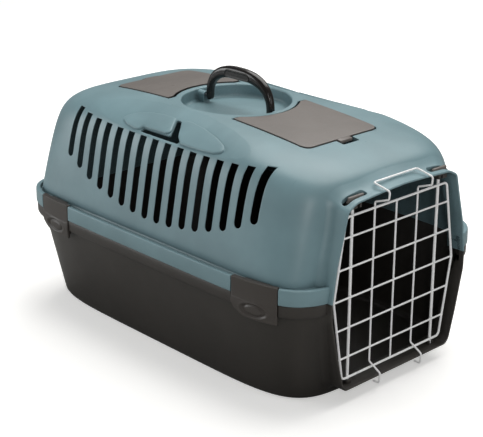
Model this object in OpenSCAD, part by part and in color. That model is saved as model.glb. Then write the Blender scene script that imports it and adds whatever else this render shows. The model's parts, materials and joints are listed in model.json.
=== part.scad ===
// Two-shell pet transport carrier with a wire door.
// X runs across the carrier, the door faces -Y, Z is up, and the base stands on Z = 0.

/* [Shells] */
// Width over the flange
width = 400; // [390:2:420]
// Height of the top deck
deck_z = 333.7; // [331:0.1:340]
// Height of the seam between the two shells
seam_z = 152.5; // [150:0.5:154]
// Height of the upper shell's flange band above the seam
band_h = 22.5; // [22:0.5:24]
// Height of the lower shell's flange skirt below the seam
skirt_h = 16.5; // [14:0.5:17]
// Wall thickness of both shells
wall = 3; // [2.5:0.1:3.5]

/* [Vents] */
// Number of vent slots in each side
vents = 16; // [8:1:16]
// Distance between vent slots
vent_pitch = 26.1; // [24:0.1:26.5]
// Width of a vent slot
vent_w = 12.5; // [6:0.5:14]

/* [Door] */
// Distance between the upright wires
upright_pitch = 42.75; // [42:0.05:43]
// Distance between the cross wires
cross_pitch = 42.35; // [40:0.05:42.5]
// Diameter of the two hinge rods
rod_d = 4; // [4:0.1:4.4]
// Diameter of the frame wire
frame_d = 3.2; // [3.2:0.1:3.4]
// Diameter of the other wires
wire_d = 2.6; // [2.6:0.05:2.65]

/* [Handle and lids] */
// Thickness of the handle's legs
leg_t = 12; // [10:1:13]
// Thickness of the grip
grip_t = 15; // [14:1:18]
// Width of each storage lid
lid_w = 140; // [120:2:140]
// Thickness of each storage lid
lid_t = 3; // [2.5:0.1:3.2]

/* [Clips] */
// Length of each clip
clip_l = 70; // [60:1:72]
// Thickness of a clip's plate
clip_t = 3; // [2.5:0.1:3.2]

/* [Hidden] */
$fn = 48;
steps = 48;
bend_steps = 4;
wire_steps = 16;
tiny = 0.1;

shell_blue = [0.53, 0.63, 0.66];
shell_dark = [0.22, 0.21, 0.20];
trim_brown = [0.50, 0.46, 0.44];
clip_brown = [0.36, 0.34, 0.32];
handle_black = [0.10, 0.09, 0.09];
grip_grey = [0.17, 0.16, 0.15];
wire_white = [0.88, 0.88, 0.88];

// Flange, the widest outline of both shells
half_w = width / 2;
flange_half_l = 306;
flange_y = 3.5;
flange_n = 6.35;
band_z = seam_z + band_h;
skirt_z = seam_z - skirt_h;
seam_gap = 0.2;

// Upper shell: sizes of its horizontal section at the band, and how they close towards the deck
ledge_w = 17;
body_y = 8;
body_w = half_w - ledge_w;
body_front = 290;
body_rear = 288;
body_h = deck_z - band_z;
side_lean = 0.187;
channel_z = band_z - 9;
rim_w = 6;
belt_y = [-25, 55];
belt_cross_y = [-4, 8];
belt_low_z = 304.5;

// Lower shell: sizes of its horizontal section at the floor, and the growth up to the skirt
tub_w = half_w - 32;
tub_l = 277;
tub_y = 3;
tub_grow = 24 / 140;
tub_round = 9;
tub_n = 6;

// Door surround, which stands in front of both shells
front_y = -304.5;
surround_back_y = -279.5;
lower_back_y = -276;
doorway_back_y = -230;
sill_z = 22.5;
rim_outline = [
    [104, 18], [112, 27], [122, 68], [135, 128], [135, 152], [128, 200],
    [117, 240], [112, 266], [103, 276.5], [86, 278.8], [43, 281.5], [0, 283.5]
];

// Door
rod_x = 2 * upright_pitch;
rod_y = -290;
frame_y = -293.5;
cross_y = -293.2;
centre_y = -290.7;
bail_y = -290.5;
frame_low_z = 31;
frame_high_z = 259.5;
kink_z = 146.3;
frame_corner_x = 100;
kink_x = 119.5;
first_cross_z = 61.6;
rod_low_z = 19.5;
rod_high_z = 275;
running = 0.06;

// Handle, recess and lids
handle_y = 10;
pivot_z = 326;
pin_r = 3;
arch_outer = [69, 54];
arch_inner = [58.2, 36.5];
foot_r = (arch_outer[0] - arch_inner[0]) / 2;
pin_reach = arch_inner[0] + 2.3;
recess_y = 17;
recess_r = 80;
recess_z = 316;
lug_w = 8;
front_lug_y = [-76, -61.5];
rear_lug_y = [82, 104];
pin_front_y = -72.2;
pin_rear_y = 97.5;
lid_gap = 1;
hinge_gap = 2.2;
lid_edge_r = recess_r + 13;
lid_pin_r = 1.3;
lid_barrel_r = 2.4;
lid_barrel_l = 7.2;
lid_axis_z = [327.3, 329.7];
well_z = 299;
hinge_well_z = 313;
pocket_w = 16;
front_pocket = [-16, 306];
rear_pocket = [9, 318];
tab_w = 12;
tab_l = 7;
front_lid_y = [-193, -54];
rear_lid_y = [88, 207];
hinge_inset = 10;

// Clips
clip_y = [-223, 205];
clip_low_z = 127;
clip_top_z = band_z + 1.2;
clip_arm_z = band_z - 2;
clip_axis_in = 11.5;
clip_arm_in = 7.5;
clip_axis_z = band_z - 3.5;
barrel_r = 3;
barrel_l = 40;
clip_pin_r = 1.2;
notch_d = clip_t + 0.5;

// Catches that hold the rods at the top
catch_travel = 6;
catch_w = 8.4;
button_l = 33;
slot_w = 10.4;
slot_ends = [62, 103];
catch_low_z = 268;
catch_top_z = 279.6;

// ---------------------------------------------------------------- outlines

function signed_pow(a, p) = sign(a) * pow(abs(a), p);

// Rounded rectangle that follows a superellipse, with its own front and rear half lengths
function oval(w, front, rear, n, y) = [
    for (i = [0 : steps - 1])
        let (a = i * 360 / steps, s = sin(a))
        [w * signed_pow(cos(a), 2 / n), y + (s > 0 ? rear : front) * signed_pow(s, 2 / n)]
];

function flange_oval(inset) =
    oval(half_w - inset, flange_half_l - inset, flange_half_l - inset, flange_n, flange_y);

// Section of the upper shell at height h above the band, drawn in by the wall
function body_oval(h, inset) =
    let (t = max(h, 0) / (body_h - inset))
    oval((body_w - side_lean * max(h, 0) - inset) * pow(1 - pow(t, 8.7), 0.2),
        (body_front - inset) * pow(1 - pow(t, 13), 0.97),
        (body_rear - inset) * pow(1 - pow(t, 12), 0.385),
        8.6 - 4.9 * t, body_y);

// Section of the lower shell at height z, with a rounded bottom edge
function tub_oval(z, inset) =
    let (
        r = tub_round,
        below = max(r - z, 0),
        out = tub_grow * z - inset - r + sqrt(r * r - below * below)
    )
    oval(tub_w + out, tub_l + out, tub_l + out, tub_n, tub_y);

// Distance of the flange from the middle plane at y, and its slope there
function flange_x(y) =
    half_w * pow(1 - pow(abs(y - flange_y) / flange_half_l, flange_n), 1 / flange_n);
function flange_slope(y) = (flange_x(y + 1) - flange_x(y - 1)) / 2;

function mirrored(points) = concat(points, [
    for (i = [len(points) - 1 : -1 : 0]) if (points[i][0] > 0) [-points[i][0], points[i][1]]
]);

module rim_shape() {
    polygon(mirrored(rim_outline));
}

// ---------------------------------------------------------------- helpers

// Solid whose skin runs through a list of rings, either closed at both ends or joined in a loop
module skin(rings, loop = false) {
    n = len(rings[0]);
    count = len(rings);
    sides = [
        for (k = [0 : loop ? count - 1 : count - 2], i = [0 : n - 1], half = [0, 1])
            let (
                a = k * n + i, b = k * n + (i + 1) % n,
                c = ((k + 1) % count) * n + (i + 1) % n, d = ((k + 1) % count) * n + i
            )
            half == 0 ? [a, d, c] : [a, c, b]
    ];
    first_face = [for (i = [0 : n - 1]) i];
    last_face = [for (i = [n - 1 : -1 : 0]) (count - 1) * n + i];
    polyhedron(
        points = [for (ring = rings) each ring],
        faces = loop ? sides : concat(sides, [first_face, last_face])
    );
}

// Solid through a stack of outlines, each given as [z, points]
module loft(stack) {
    skin([for (layer = stack) [for (p = layer[1]) [p[0], p[1], layer[0]]]]);
}

module prism(points, z0, z1) {
    translate([0, 0, z0])
        linear_extrude(z1 - z0)
            polygon(points);
}

// Upright profile drawn in X and Z, carried from y0 back to y1
module facing(y0, y1) {
    translate([0, y1, 0])
        rotate([90, 0, 0])
            linear_extrude(y1 - y0)
                children();
}

module block(low, high) {
    translate(low)
        cube(high - low);
}

module bar_x(r, x0, x1, y, z) {
    translate([x0, y, z])
        rotate([0, 90, 0])
            cylinder(r = r, h = x1 - x0);
}

module bar_y(r, y0, y1, x, z) {
    translate([x, y1, z])
        rotate([90, 0, 0])
            cylinder(r = r, h = y1 - y0);
}

module both_sides() {
    children();
    mirror([1, 0, 0])
        children();
}

function unit(v) = v / norm(v);

// Points and directions along one bent corner, from a through b to c
function bend_at(a, b, c, r) =
    let (
        v = unit(b - a), w = unit(c - b),
        turn = acos(v * w),
        inward = unit(w - v * (v * w)),
        start = b - v * (r * tan(turn / 2))
    )
    [
        for (k = [0 : bend_steps])
            let (t = k * turn / bend_steps)
            [start + v * (r * sin(t)) + inward * (r * (1 - cos(t))), v * cos(t) + inward * sin(t)]
    ];

// Side directions of the rings along a path, each turned as little as possible from the last
function carried(path, u, i = 0) =
    i == len(path) ? [] :
    let (w = unit(u - path[i][1] * (path[i][1] * u)))
    concat([w], carried(path, w, i + 1));

// Round wire through points, with every corner bent to the same radius
module bent_wire(points, d, bend, u, loop = false) {
    n = len(points);
    inner = loop ? [0 : n - 1] : [1 : n - 2];
    corners = [
        for (i = inner)
            each bend_at(points[(i + n - 1) % n], points[i], points[(i + 1) % n], bend)
    ];
    path = loop ? corners : concat(
        [[points[0], unit(points[1] - points[0])]],
        corners,
        [[points[n - 1], unit(points[n - 1] - points[n - 2])]]
    );
    sides = carried(path, u);
    skin([
        for (i = [0 : len(path) - 1])
            [for (k = [0 : wire_steps - 1])
                let (a = k * 360 / wire_steps, w = cross(path[i][1], sides[i]))
                path[i][0] + (sides[i] * cos(a) + w * sin(a)) * (d / 2)]
    ], loop);
}

// ---------------------------------------------------------------- shell solids

body_levels = [0.35, 0.6, 0.78, 0.88, 0.94, 0.975, 0.993];

module body_solid(inset) {
    loft(concat(
        [[seam_z, body_oval(0, inset)], [band_z, body_oval(0, inset)]],
        [for (t = body_levels) let (h = t * (body_h - inset)) [band_z + h, body_oval(h, inset)]]
    ));
}

module tub_solid(inset) {
    lift = inset > 0 ? wall : 0;
    heights = [0, 2.6, 9, 80, seam_z - lift];
    loft([for (z = heights) [z + lift, tub_oval(z, inset)]]);
}

// Long shallow hollow along each shoulder, cut by a very large round bar
module shoulder_cut(grow) {
    r = 2217;
    low = [154, 303];
    high = [90, 331.5];
    along = unit(low - high);
    middle = (low + high) / 2;
    axis = middle + [-along[1], along[0]] * r;
    both_sides()
        translate([axis[0], -8, axis[1]])
            rotate([0, 90 + atan2(-along[1], along[0]), 0])
                cylinder(r = r + grow, h = 110, center = true, $fn = 720);
}

module vent_slots() {
    for (i = [0 : vents - 1]) {
        y = 1.5 + (i - (vents - 1) / 2) * vent_pitch;
        k = abs(y) / 196;
        low = 194 + 47 * k * k + vent_w / 2;
        high = 303.5 + 7 * pow(k, 4);
        both_sides() {
            block([128, y - vent_w / 2, low], [190, y + vent_w / 2, high]);
            bar_x(vent_w / 2, 128, 190, y, low);
        }
    }
}

// Belt slots between the raised pads on each shoulder: a long one and one that crosses it
module belt_slots() {
    both_sides() {
        block([134, belt_y[0], belt_low_z], [152, belt_y[1], belt_low_z + 5.5]);
        block([112, belt_cross_y[0], belt_low_z], [152, belt_cross_y[1], belt_low_z + 19.5]);
    }
}

// Outline of a storage lid, whose inner edge bends round the recess. A grown outline leaves
// the hinge edge more room than the others, because that edge swings down as the lid lifts.
module lid_shape(grow, y0, y1) {
    r = 12;
    outer = abs(y0) > abs(y1) ? y0 : y1;
    inner = outer == y0 ? y1 : y0;
    s = sign(outer - inner);
    give = grow > 0 ? hinge_gap : 0;
    w = lid_w / 2 + grow;
    far = outer + s * grow;
    near = inner - s * (grow + give);
    corner = [for (a = [0 : 15 : 90]) [w - r + r * cos(a), far + s * (r * sin(a) - r)]];
    difference() {
        polygon(mirrored(concat([[w, near]], corner)));
        translate([0, recess_y])
            circle(r = lid_edge_r - grow - give, $fn = 96);
    }
}

module lid_prism(grow, ys, z0, z1) {
    translate([0, 0, z0])
        linear_extrude(z1 - z0)
            lid_shape(grow, ys[0], ys[1]);
}

module both_lids(grow, z0, z1) {
    for (ys = [front_lid_y, rear_lid_y])
        lid_prism(grow, ys, z0, z1);
}

function hinge_y(ys) = abs(ys[0]) > abs(ys[1]) ? ys[1] - hinge_inset : ys[0] + hinge_inset;
function hinge_z(ys) = hinge_y(ys) < 0 ? lid_axis_z[0] : lid_axis_z[1];

// Bosses at both ends of the handle's pivot
module handle_lugs() {
    for (ys = [front_lug_y, rear_lug_y])
        block([-lug_w, ys[0], recess_z - wall], [lug_w, ys[1], pivot_z + 5]);
}

module below_deck() {
    intersection() {
        union() {
            translate([0, recess_y, recess_z - wall])
                cylinder(r = recess_r + wall, h = 30, $fn = 96);
            both_lids(lid_gap + wall + 1, well_z - wall, deck_z);
            handle_lugs();
            finger_pocket(front_lid_y[0], front_pocket[0], front_pocket[1] - wall, wall + 1);
            finger_pocket(rear_lid_y[1], rear_pocket[0], rear_pocket[1] - wall, wall + 1);
        }
        body_solid(1);
    }
}

// Pocket for a fingertip at the free edge of a lid, reaching out from the edge at y
module finger_pocket(y, reach, z, grow) {
    s = sign(reach);
    inner = y - s * (6 + grow);
    outer = y + reach + s * grow;
    block([-pocket_w - grow, min(inner, outer), z], [pocket_w + grow, max(inner, outer), deck_z]);
}

// Shallow ends of the wells, where the lids' hinge edges swing down
module hinge_wells() {
    intersection() {
        both_lids(lid_gap, hinge_well_z, deck_z + 5);
        block([-half_w, -101, 0], [half_w, 126, 400]);
    }
}

module deck_cuts() {
    difference() {
        translate([0, recess_y, recess_z])
            cylinder(r = recess_r, h = 40, $fn = 96);
        handle_lugs();
    }
    difference() {
        both_lids(lid_gap, well_z, deck_z + 5);
        translate([0, 0, -lid_t - 0.3])
            body_solid(0);
    }
    block([-lid_w / 2 + 5, front_lid_y[0] + 5, well_z], [lid_w / 2 - 5, -100, deck_z + 5]);
    block([-lid_w / 2 + 5, 125, well_z], [lid_w / 2 - 5, rear_lid_y[1] - 5, deck_z + 5]);
    hinge_wells();
    for (ys = [front_lid_y, rear_lid_y])
        bar_x(lid_pin_r + running, -lid_w / 2 - 5, lid_w / 2 + 5, hinge_y(ys), hinge_z(ys));
    bar_y(pin_r + running, pin_front_y - 0.5, front_lug_y[1] + 2, 0, pivot_z);
    bar_y(pin_r + running, rear_lug_y[0] - 2, pin_rear_y + 0.5, 0, pivot_z);
    finger_pocket(front_lid_y[0], front_pocket[0], front_pocket[1], 0);
    finger_pocket(rear_lid_y[1], rear_pocket[0], rear_pocket[1], 0);
}

// Ring between two insets of the flange outline
module flange_ring(inset0, inset1, z0, z1) {
    difference() {
        prism(flange_oval(inset0), z0, z1);
        prism(flange_oval(inset1), z0 - tiny, z1 + tiny);
    }
}

module on_flange(y) {
    translate([flange_x(y), y, 0])
        rotate([0, 0, -atan(flange_slope(y))])
            children();
}

module clip_zone(y, l, z0, z1) {
    on_flange(y)
        block([-30, -l / 2, z0], [15, l / 2, z1]);
}

module clip_notches() {
    both_sides()
        for (y = clip_y) {
            intersection() {
                clip_zone(y, clip_l + 2, 100, 200);
                flange_ring(-2, notch_d, skirt_z - 8, band_z + 2);
            }
            intersection() {
                clip_zone(y, clip_l + 2, 100, 200);
                flange_ring(-2, rim_w + 1, clip_arm_z - 1.5, band_z + 2);
            }
        }
}

module clip_lugs() {
    both_sides()
        for (y = clip_y, s = [-1, 1])
            on_flange(y)
                difference() {
                    block([-ledge_w - 1, s * (barrel_l / 2 + 2.9) - 2.5, channel_z - 1],
                        [-clip_axis_in + 2.2, s * (barrel_l / 2 + 2.9) + 2.5, clip_axis_z + 2]);
                    bar_y(clip_pin_r, -60, 60, -clip_axis_in, clip_axis_z);
                }
}

module surround_solid(back) {
    facing(front_y, back)
        rim_shape();
}

module doorway() {
    intersection() {
        facing(front_y - 10, doorway_back_y)
            offset(delta = -wall)
                rim_shape();
        block([-half_w, front_y - 20, sill_z], [half_w, 0, deck_z]);
    }
}

module catch_slots() {
    both_sides() {
        block([slot_ends[0] + slot_w / 2, rod_y - slot_w / 2, catch_low_z],
            [slot_ends[1] - slot_w / 2, rod_y + slot_w / 2, 300]);
        for (x = [slot_ends[0] + slot_w / 2, slot_ends[1] - slot_w / 2])
            translate([x, rod_y, catch_low_z])
                cylinder(d = slot_w, h = 30);
    }
}

module upper_shell() {
    color(shell_blue)
        difference() {
            union() {
                difference() {
                    body_solid(0);
                    shoulder_cut(0);
                    difference() {
                        body_solid(wall);
                        shoulder_cut(wall);
                    }
                }
                difference() {
                    prism(flange_oval(0), seam_z, band_z);
                    prism(body_oval(0, 1), seam_z - 1, band_z + 1);
                    difference() {
                        prism(flange_oval(rim_w), channel_z, band_z + 1);
                        prism(body_oval(0, 0), channel_z - 1, band_z + 2);
                    }
                    difference() {
                        prism(flange_oval(notch_d + 1.1), seam_z - 1, channel_z - wall);
                        prism(body_oval(0, 0), seam_z - 2, channel_z);
                    }
                }
                below_deck();
                intersection() {
                    surround_solid(surround_back_y);
                    block([-200, -400, seam_z], [200, 0, 400]);
                }
                clip_lugs();
            }
            deck_cuts();
            vent_slots();
            belt_slots();
            clip_notches();
            doorway();
            catch_slots();
            block([-300, -400, 0], [300, 400, seam_z + seam_gap]);
        }
}

module lower_shell() {
    color(shell_dark)
        difference() {
            union() {
                tub_solid(0);
                prism(flange_oval(1), skirt_z, seam_z);
                flange_ring(notch_d + 2, notch_d + 4.5, seam_z - 1, seam_z + 6);
                intersection() {
                    surround_solid(lower_back_y);
                    block([-200, -400, 0], [200, 0, seam_z]);
                }
            }
            difference() {
                union() {
                    tub_solid(wall);
                    prism(tub_oval(seam_z - 2 * wall, wall), seam_z - wall - 1, seam_z + 20);
                }
                facing(-400, surround_back_y)
                    rim_shape();
            }
            difference() {
                prism(flange_oval(notch_d + 2.5), skirt_z - 1, seam_z - 6);
                tub_solid(0);
            }
            clip_notches();
            difference() {
                doorway();
                for (x = [-rod_x, rod_x])
                    translate([x, rod_y, 0])
                        cylinder(r = 5.5, h = 27);
            }
            facing(front_y - 10, surround_back_y + 1)
                translate([-rim_outline[4][0] - 1, seam_z])
                    square([2 * rim_outline[4][0] + 2, 20]);
            translate([-rod_x, rod_y, 10])
                cylinder(d = rod_d + 2 * running, h = 30);
            translate([rod_x, rod_y, 10])
                cylinder(d = rod_d + 0.6, h = 30);
            block([rod_x - rod_d / 2 - 1.3, front_y - 5, 10], [rod_x + rod_d / 2 + 0.3, rod_y, 40]);
        }
}

// ---------------------------------------------------------------- lids

module storage_lid(ys) {
    y = hinge_y(ys);
    z = hinge_z(ys);
    s = sign(ys[0] + ys[1]);
    tip = s > 0 ? ys[1] : ys[0];
    end = tip + s * tab_l;
    barrel_x = lid_w / 2 - 0.3;
    color(trim_brown) {
        intersection() {
            union() {
                lid_prism(0, ys, 300, deck_z);
                block([-tab_w, min(tip, end), 300], [tab_w, max(tip, end), deck_z]);
            }
            difference() {
                body_solid(0);
                translate([0, 0, -lid_t])
                    body_solid(0);
            }
        }
        both_sides() {
            bar_x(lid_barrel_r, barrel_x - lid_barrel_l, barrel_x, y, z);
            bar_x(lid_pin_r, barrel_x - lid_barrel_l, lid_w / 2 + 4.5, y, z);
        }
    }
}

module front_lid() { storage_lid(front_lid_y); }
module rear_lid() { storage_lid(rear_lid_y); }

// ---------------------------------------------------------------- handle

// Upper half of a superellipse, given its two half sizes
module arch_shape(size, n) {
    polygon([
        for (t = [0 : 5 : 180])
            [size[0] * signed_pow(cos(t), 2 / n), size[1] * signed_pow(sin(t), 2 / n)]
    ]);
}

module arch_profile() {
    difference() {
        arch_shape(arch_outer, 2.5);
        arch_shape(arch_inner, 2.7);
        translate([-arch_inner[0], -1])
            square([2 * arch_inner[0], 2]);
    }
    for (side = [-1, 1])
        translate([side * (arch_outer[0] - foot_r), 0])
            circle(r = foot_r);
}

module carry_handle() {
    color(handle_black)
        difference() {
            translate([0, handle_y, pivot_z])
                rotate([90, 0, 90])
                    linear_extrude(leg_t, center = true)
                        arch_profile();
            both_sides()
                grip_pad();
            bar_y(pin_r, handle_y - arch_outer[0] - tiny, handle_y - pin_reach, 0, pivot_z);
            bar_y(pin_r, handle_y + pin_reach, handle_y + arch_outer[0] + tiny, 0, pivot_z);
        }
}

// Soft pads let into both faces of the arch
module grip_pad() {
    r = 5.6;
    half = 20;
    z = pivot_z + (arch_outer[1] + arch_inner[1]) / 2;
    block([leg_t / 2 - 2, handle_y - half, z - r], [grip_t / 2, handle_y + half, z + r]);
    for (y = [handle_y - half, handle_y + half])
        bar_x(r, leg_t / 2 - 2, grip_t / 2, y, z);
}

module handle_grip() {
    color(grip_grey)
        both_sides()
            grip_pad();
}

module handle_pin_front() {
    color(wire_white)
        bar_y(pin_r, pin_front_y, handle_y - pin_reach, 0, pivot_z);
}

module handle_pin_rear() {
    color(wire_white)
        bar_y(pin_r, handle_y + pin_reach, pin_rear_y, 0, pivot_z);
}

// ---------------------------------------------------------------- clips

module clip(y) {
    color(clip_brown)
        difference() {
            union() {
                intersection() {
                    clip_zone(y, clip_l, 100, 200);
                    on_flange(y)
                        bar_x(90, -30, 15, 0, clip_low_z + 90);
                    union() {
                        flange_ring(0, clip_t, clip_low_z, clip_top_z);
                        flange_ring(0, rim_w + 0.2, clip_arm_z, clip_top_z);
                        flange_ring(clip_t - 1, clip_t + 2.2, clip_low_z + 4, skirt_z - 0.5);
                    }
                }
                on_flange(y) {
                    block([-clip_arm_in, -barrel_l / 2, clip_arm_z], [1 - rim_w, barrel_l / 2, clip_top_z]);
                    block([-clip_axis_in, -barrel_l / 2, clip_axis_z + 0.3],
                        [0.5 - clip_arm_in, barrel_l / 2, clip_axis_z + barrel_r]);
                    bar_y(barrel_r, -barrel_l / 2, barrel_l / 2, -clip_axis_in, clip_axis_z);
                }
            }
            on_flange(y)
                bar_y(clip_pin_r + running, -clip_l, clip_l, -clip_axis_in, clip_axis_z);
            on_flange(y)
                intersection() {
                    bar_x(26, -0.8 - clip_t / 3, 10, 0, clip_low_z + 28);
                    bar_x(26, -0.8 - clip_t / 3, 10, 0, clip_low_z - 6);
                }
        }
}

module clip_front_right() { clip(clip_y[0]); }
module clip_rear_right() { clip(clip_y[1]); }
module clip_front_left() { mirror([1, 0, 0]) clip(clip_y[0]); }
module clip_rear_left() { mirror([1, 0, 0]) clip(clip_y[1]); }

module clip_pins() {
    reach = barrel_l / 2 + 5.2;
    color(wire_white)
        both_sides()
            for (y = clip_y)
                on_flange(y)
                    bar_y(clip_pin_r, -reach, reach, -clip_axis_in, clip_axis_z);
}

// ---------------------------------------------------------------- door

function frame_x(z) = z > kink_z
    ? kink_x + (frame_corner_x - kink_x) * (z - kink_z) / (frame_high_z - kink_z)
    : kink_x + (frame_corner_x - kink_x) * (kink_z - z) / (kink_z - frame_low_z);

module door_frame_wire() {
    corners = [
        [frame_corner_x, frame_low_z], [kink_x, kink_z], [frame_corner_x, frame_high_z],
        [-frame_corner_x, frame_high_z], [-kink_x, kink_z], [-frame_corner_x, frame_low_z]
    ];
    color(wire_white)
        bent_wire([for (c = corners) [c[0], frame_y, c[1]]], frame_d, 7, [0, 1, 0], loop = true);
}

module door_cross_wires() {
    color(wire_white)
        for (i = [0 : 4]) {
            z = first_cross_z + i * cross_pitch;
            bar_x(wire_d / 2, -frame_x(z), frame_x(z), cross_y, z);
        }
}

module door_centre_wire() {
    color(wire_white)
        translate([0, centre_y, frame_low_z])
            cylinder(d = wire_d, h = frame_high_z - frame_low_z);
}

module door_rod(x) {
    color(wire_white)
        translate([x, rod_y, rod_low_z])
            cylinder(d = rod_d, h = rod_high_z - rod_low_z);
}

module door_rod_left() { door_rod(-rod_x); }
module door_rod_right() { door_rod(rod_x); }

// Sliding bail: a hook under the lower lip at each foot and a loop over the brow
module door_bail() {
    half = [
        [-299, 12], [-309.5, 12], [-310.5, 27], [bail_y, 38],
        [bail_y, 266], [-313.5, 274], [-314.5, 285.5], [-286.5, 291]
    ];
    side = [for (p = half) [upright_pitch, p[0], p[1]]];
    other = [for (i = [len(half) - 1 : -1 : 0]) [-upright_pitch, half[i][0], half[i][1]]];
    color(wire_white)
        bent_wire(concat(side, other), wire_d, 3.6, [1, 0, 0]);
}

// Sliding catch: a thumb button in the brow, and a block below that traps the rod's end.
// The rod runs along a slot in the block, and leaves it forwards through the gap at gap_x.
module door_catch(button_x, rod_at, gap_x) {
    x0 = button_x - button_l / 2;
    x1 = button_x + button_l / 2;
    r = rod_d / 2 + running;
    far = rod_at + catch_travel;
    bore_z = [catch_low_z - 1, catch_low_z + 7.5];
    color(trim_brown)
        difference() {
            union() {
                block([x0 + catch_w / 2, rod_y - catch_w / 2, catch_low_z + 5],
                    [x1 - catch_w / 2, rod_y + catch_w / 2, catch_top_z]);
                for (x = [x0 + catch_w / 2, x1 - catch_w / 2])
                    translate([x, rod_y, catch_low_z + 5])
                        cylinder(d = catch_w, h = catch_top_z - catch_low_z - 5);
                block([rod_at - 5, rod_y - 5.6, catch_low_z], [far + 6, rod_y + 5.6, catch_low_z + 6]);
            }
            for (x = [rod_at, far])
                translate([x, rod_y, bore_z[0]])
                    cylinder(r = r, h = bore_z[1] - bore_z[0]);
            block([rod_at, rod_y - r, bore_z[0]], [far, rod_y + r, bore_z[1]]);
            block([gap_x - r - 0.5, rod_y - 10, bore_z[0]], [gap_x + r + 0.3, rod_y, bore_z[1]]);
        }
}

module door_catch_left() {
    door_catch(-slot_ends[0] - 0.5 - button_l / 2 - 0.8, -rod_x, -rod_x + catch_travel);
}

module door_catch_right() {
    door_catch(slot_ends[1] - 0.5 - button_l / 2, rod_x, rod_x);
}

lower_shell();
upper_shell();
front_lid();
rear_lid();
carry_handle();
handle_grip();
handle_pin_front();
handle_pin_rear();
clip_front_left();
clip_front_right();
clip_rear_left();
clip_rear_right();
clip_pins();
door_frame_wire();
door_cross_wires();
door_centre_wire();
door_rod_left();
door_rod_right();
door_bail();
door_catch_left();
door_catch_right();
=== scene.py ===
"""Looks for the pet transport carrier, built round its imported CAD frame."""

import json
import math

import bmesh
import bpy
import numpy as np
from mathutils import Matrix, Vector

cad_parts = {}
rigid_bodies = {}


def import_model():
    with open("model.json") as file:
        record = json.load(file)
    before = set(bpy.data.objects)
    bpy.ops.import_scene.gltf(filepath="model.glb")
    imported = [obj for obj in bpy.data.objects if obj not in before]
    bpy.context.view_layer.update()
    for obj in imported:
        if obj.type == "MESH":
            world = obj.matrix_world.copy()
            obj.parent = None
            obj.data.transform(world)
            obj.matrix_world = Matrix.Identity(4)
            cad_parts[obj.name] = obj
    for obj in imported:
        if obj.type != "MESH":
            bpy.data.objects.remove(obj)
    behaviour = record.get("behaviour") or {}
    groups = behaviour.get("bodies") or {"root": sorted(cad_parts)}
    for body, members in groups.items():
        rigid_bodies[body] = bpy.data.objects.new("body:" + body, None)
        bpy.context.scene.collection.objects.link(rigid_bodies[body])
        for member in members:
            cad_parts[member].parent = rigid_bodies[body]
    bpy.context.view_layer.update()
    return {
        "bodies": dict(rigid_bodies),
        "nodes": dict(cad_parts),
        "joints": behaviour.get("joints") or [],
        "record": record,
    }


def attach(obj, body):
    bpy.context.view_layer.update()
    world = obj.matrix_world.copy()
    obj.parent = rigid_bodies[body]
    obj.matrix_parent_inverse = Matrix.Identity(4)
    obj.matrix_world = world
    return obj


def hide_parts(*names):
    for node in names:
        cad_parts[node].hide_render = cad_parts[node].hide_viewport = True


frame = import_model()

MM = 0.001

# Sizes in millimetres. X runs across, the door is at -Y, and Z is up.

# Flange that runs round the seam, and the heights of its bands.
HALF_W = 200.0
FLANGE_L = 306.0
FLANGE_Y = 3.5
FLANGE_N = 6.35
SKIRT_Z = 136.0
SEAM_Z = 152.5
BAND_Z = 175.0

# Upper shell.
DECK_Z = 333.7
BODY_H = DECK_Z - BAND_Z
BODY_Y = 8.0
BODY_W = 183.0
BODY_FRONT = 290.0
BODY_REAR = 288.0
LEAN = 0.187
WALL = 3.0

# Lower shell.
TUB_W = 168.0
TUB_L = 277.0
TUB_Y = 3.0
TUB_GROW = 24.0 / 140.0
TUB_ROUND = 9.0
TUB_N = 6.0

# Door surround, as half of its outline in X and Z with the radius of each corner.
FRONT_Y = -304.5
SILL_Z = 22.5
RIM = [
    (104, 19), (111, 27), (122, 68), (135, 128), (135, 152),
    (128, 200), (117, 240), (109, 272), (92, 281), (43, 284),
]
RIM_RADII = [9, 14, 60, 40, 40, 90, 60, 12, 30, 200]
RIM_TOP = (0, 286)
RIM_TOP_RADIUS = 300

# Deck: the handle's recess and pivot, and the lids as (outer edge, inner edge) in Y.
ABOVE_DECK = 345.0
RECESS_Y = 17.0
RECESS_R = 80.0
PIVOT_Y = 10.0
PIVOT_Z = 326.0
LUGS = [(-76.0, -61.5), (82.0, 104.0)]
FRONT_LID = (-193.0, -54.0)
REAR_LID = (207.0, 88.0)
LID_W = 70.0
LID_T = 3.0
LID_ARC = 93.0
LID_CORNER = 12.0
LID_PROUD = 1.3
LID_FLOOR_GAP = 0.35
SIDE_GAP = 2.2
HINGE_GAP = 2.2
FRONT_HINGE_Z = 327.3
REAR_HINGE_Z = 329.7

# Shoulder hollow: the line its flat section follows in X and Z, and its bend along Y.
HOLLOW_LOW = np.array([154.0, 303.0])
HOLLOW_HIGH = np.array([90.0, 331.5])
HOLLOW_UP = (HOLLOW_HIGH - HOLLOW_LOW) / np.linalg.norm(HOLLOW_HIGH - HOLLOW_LOW)
HOLLOW_OUT = np.array([HOLLOW_UP[1], -HOLLOW_UP[0]])
HOLLOW_Y = -8.0
HOLLOW_BEND = 2217.0

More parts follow.
